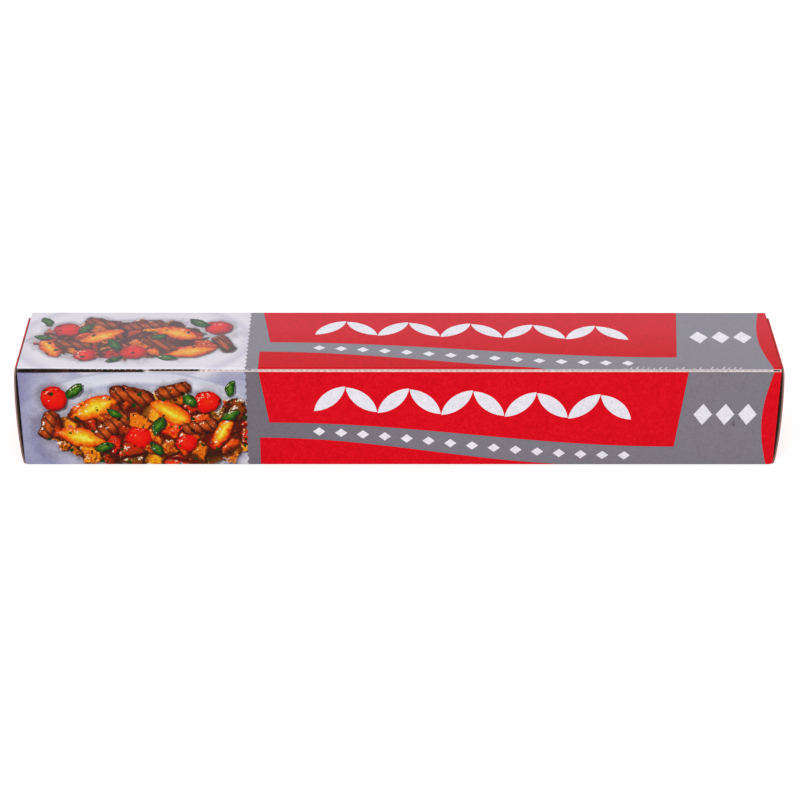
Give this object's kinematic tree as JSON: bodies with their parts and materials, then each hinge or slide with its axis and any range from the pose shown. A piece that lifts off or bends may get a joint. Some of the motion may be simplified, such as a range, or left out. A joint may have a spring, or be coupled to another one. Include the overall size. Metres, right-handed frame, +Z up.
{
  "type": "aluminium foil roll in a dispenser carton",
  "caption": "Roll of household aluminium foil on a cardboard core, in a long printed folding carton with a hinged lid and a serrated cutter strip.",
  "frame": {"origin": "centre of the underside of the carton", "axes": "+X along the roll, -Y towards the front panel, +Z up"},
  "size_m": [0.309, 0.0484, 0.0448],
  "materials": {
    "board": "matte grey-white board",
    "grey_ink": "varnished print",
    "red_ink": "varnished print",
    "white_ink": "varnished print",
    "pale_ink": "varnished print",
    "tomato_ink": "varnished print",
    "brown_ink": "varnished print",
    "orange_ink": "varnished print",
    "green_ink": "varnished print",
    "cutter_metal": "bright tinplate",
    "foil": "bright foil",
    "core_board": "matte spiral-wound tube"
  },
  "bodies": {
    "carton": {"carton": "board", "cutter_strip": "cutter_metal", "core_tube": "core_board", "foil_roll": "foil", "front_grey_print": "grey_ink", "front_red_print": "red_ink", "front_white_print": "white_ink", "front_picture_pale": "pale_ink", "front_picture_red": "tomato_ink", "front_picture_brown": "brown_ink", "front_picture_orange": "orange_ink", "front_picture_green": "green_ink", "back_grey_print": "grey_ink", "back_red_print": "red_ink", "end_red_print": "red_ink"},
    "lid": {"lid": "board", "lid_grey_print": "grey_ink", "lid_red_print": "red_ink", "lid_white_print": "white_ink", "lid_picture_pale": "pale_ink", "lid_picture_red": "tomato_ink", "lid_picture_brown": "brown_ink", "lid_picture_orange": "orange_ink", "lid_picture_green": "green_ink"}
  },
  "joints": [
    {"name": "lid_hinge", "type": "hinge", "parent": "carton", "child": "lid", "pos_m": [0, 0.0243, 0.04389], "axis": [-1, 0, 0], "range_deg": [0, 180]}
  ]
}
